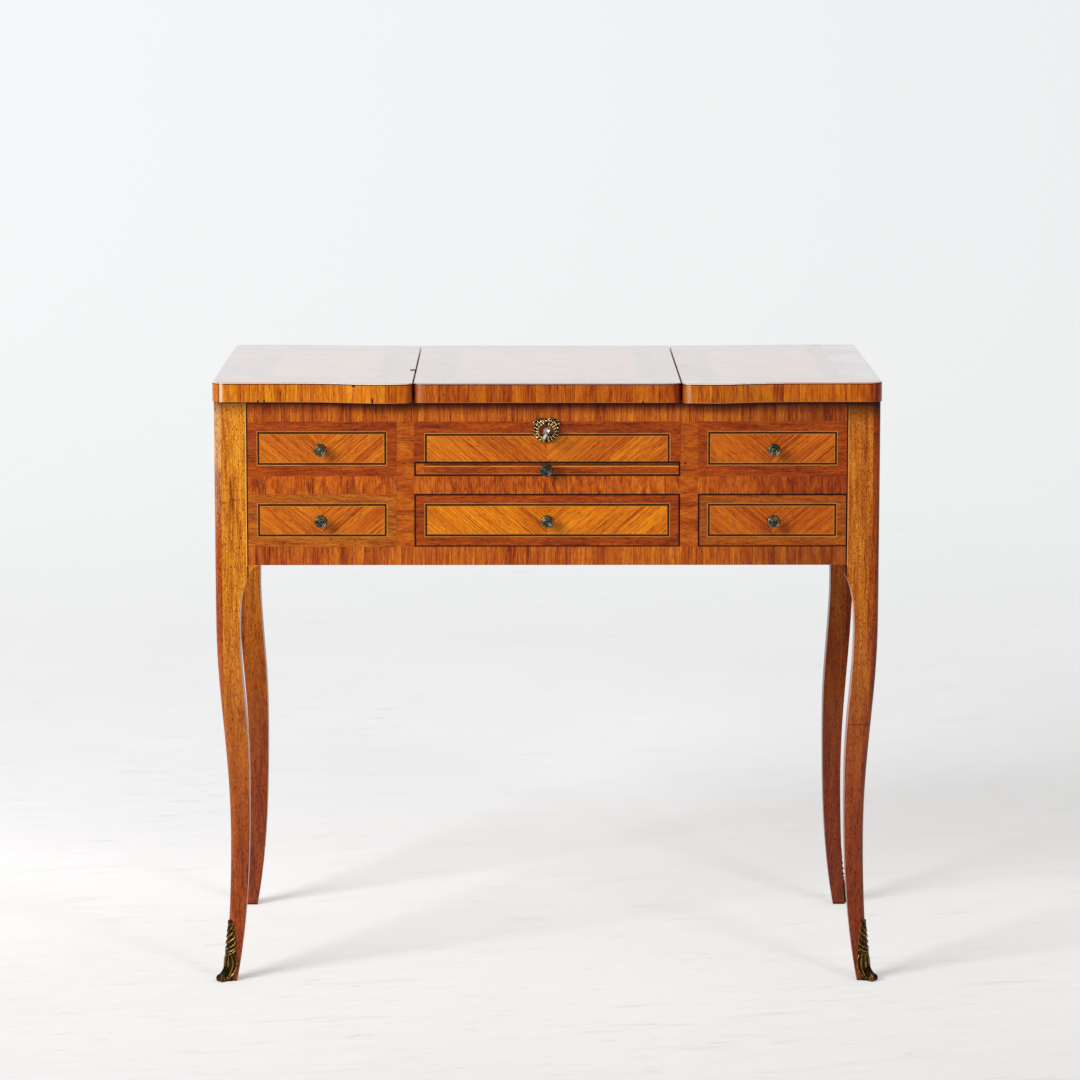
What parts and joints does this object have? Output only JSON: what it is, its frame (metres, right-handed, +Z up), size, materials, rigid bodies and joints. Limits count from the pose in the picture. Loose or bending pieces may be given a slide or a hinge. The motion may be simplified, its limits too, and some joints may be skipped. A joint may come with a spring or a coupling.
{
  "type": "poudreuse dressing table",
  "caption": "Low veneered dressing table on cabriole legs: hinged lids over wells, a folding mirror, a pull-out writing slide, drawers and a working lock with its key.",
  "frame": {"origin": "on the floor, in the middle of the table's whole box, with its key, knobs and hinge knuckles", "axes": "+X to the right seen from the front, +Y from front to back, +Z up"},
  "size_m": [0.8386, 0.502, 0.7612],
  "materials": {
    "veneer": "crossbanded tulipwood and mahogany veneer, glossy varnish",
    "polished_wood": "straight grained veneer and solid wood, satin varnish",
    "plain_wood": "planed oak, waxed",
    "gilt_bronze": "cast, gilding worn to dark bronze",
    "dark_brass": "cast and turned, dark patina",
    "brass": "rolled, dull",
    "steel": "bright steel, handled",
    "mirror": "silvered glass",
    "leather": "thin skiver with a tooled border"
  },
  "bodies": {
    "carcass": {"back_panel": "polished_wood", "carcass_hinge_leaves": "brass", "carcass_hinge_screws": "steel", "centre_false_front": "veneer", "centre_well_floor": "plain_wood", "drawer_guide": "plain_wood", "drawer_runners": "plain_wood", "escutcheon": "gilt_bronze", "false_front_knobs": "dark_brass", "front_bottom_rail": "veneer", "front_stiles": "veneer", "front_top_rail": "veneer", "hinge_pins": "steel", "knee_brackets": "polished_wood", "left_false_front": "veneer", "left_well_floor": "plain_wood", "leg_front_left": "polished_wood", "leg_front_right": "polished_wood", "leg_rear_left": "polished_wood", "leg_rear_right": "polished_wood", "lock_case": "steel", "middle_rails": "veneer", "partition_left": "plain_wood", "partition_right": "plain_wood", "right_false_front": "veneer", "right_well_floor": "plain_wood", "sabots": "gilt_bronze", "side_panel_left": "polished_wood", "side_panel_right": "polished_wood", "slide_bearers": "plain_wood"},
    "left_lid": {"left_lid": "veneer", "left_lid_stud": "brass", "left_lid_hinge_leaves": "brass", "left_lid_hinge_screws": "steel"},
    "centre_lid": {"centre_lid": "veneer", "centre_lid_hinge_leaves": "brass", "centre_lid_hinge_screws": "steel", "mirror_frame": "veneer", "mirror_glass": "mirror", "lock_strike": "brass"},
    "right_lid": {"right_lid": "veneer", "right_lid_hinge_leaves": "brass", "right_lid_hinge_screws": "steel"},
    "writing_slide": {"slide_board": "veneer", "slide_leather": "leather", "slide_lipping": "veneer", "slide_knob": "dark_brass"},
    "centre_drawer": {"centre_drawer_front": "veneer", "centre_drawer_sides": "plain_wood", "centre_drawer_back": "plain_wood", "centre_drawer_bottom": "plain_wood", "centre_drawer_knob": "dark_brass"},
    "right_drawer": {"right_drawer_front": "veneer", "right_drawer_sides": "plain_wood", "right_drawer_back": "plain_wood", "right_drawer_bottom": "plain_wood", "right_drawer_knob": "dark_brass"},
    "key": {"key": "steel"},
    "lock_bolt": {"lock_bolt": "steel"}
  },
  "joints": [
    {"name": "left_lid_hinge", "type": "hinge", "parent": "carcass", "child": "left_lid", "pos_m": [-0.4165, 0.007, 0.73575], "axis": [0, -1, 0], "range_deg": [0, 180]},
    {"name": "centre_lid_hinge", "type": "hinge", "parent": "carcass", "child": "centre_lid", "pos_m": [0, 0.2395, 0.73575], "axis": [-1, 0, 0], "range_deg": [0, 100]},
    {"name": "right_lid_hinge", "type": "hinge", "parent": "carcass", "child": "right_lid", "pos_m": [0.4165, 0.007, 0.73575], "axis": [0, 1, 0], "range_deg": [0, 180]},
    {"name": "writing_slide_pull", "type": "slide", "parent": "carcass", "child": "writing_slide", "axis": [0, -1, 0], "range_m": [0, 0.25]},
    {"name": "centre_drawer_pull", "type": "slide", "parent": "carcass", "child": "centre_drawer", "axis": [0, -1, 0], "range_m": [0, 0.3]},
    {"name": "right_drawer_pull", "type": "slide", "parent": "carcass", "child": "right_drawer", "axis": [0, -1, 0], "range_m": [0, 0.3]},
    {"name": "key_turn", "type": "hinge", "parent": "carcass", "child": "key", "pos_m": [-0.001, -0.216, 0.7003], "axis": [0, 1, 0], "range_deg": [0, 300]},
    {"name": "lock_bolt_throw", "type": "slide", "parent": "carcass", "child": "lock_bolt", "axis": [1, 0, 0], "range_m": [0, 0.006]}
  ],
  "couplings": [
    {"joint": "lock_bolt_throw", "follows": "key_turn", "m_per_rad": 0.0011459}
  ]
}
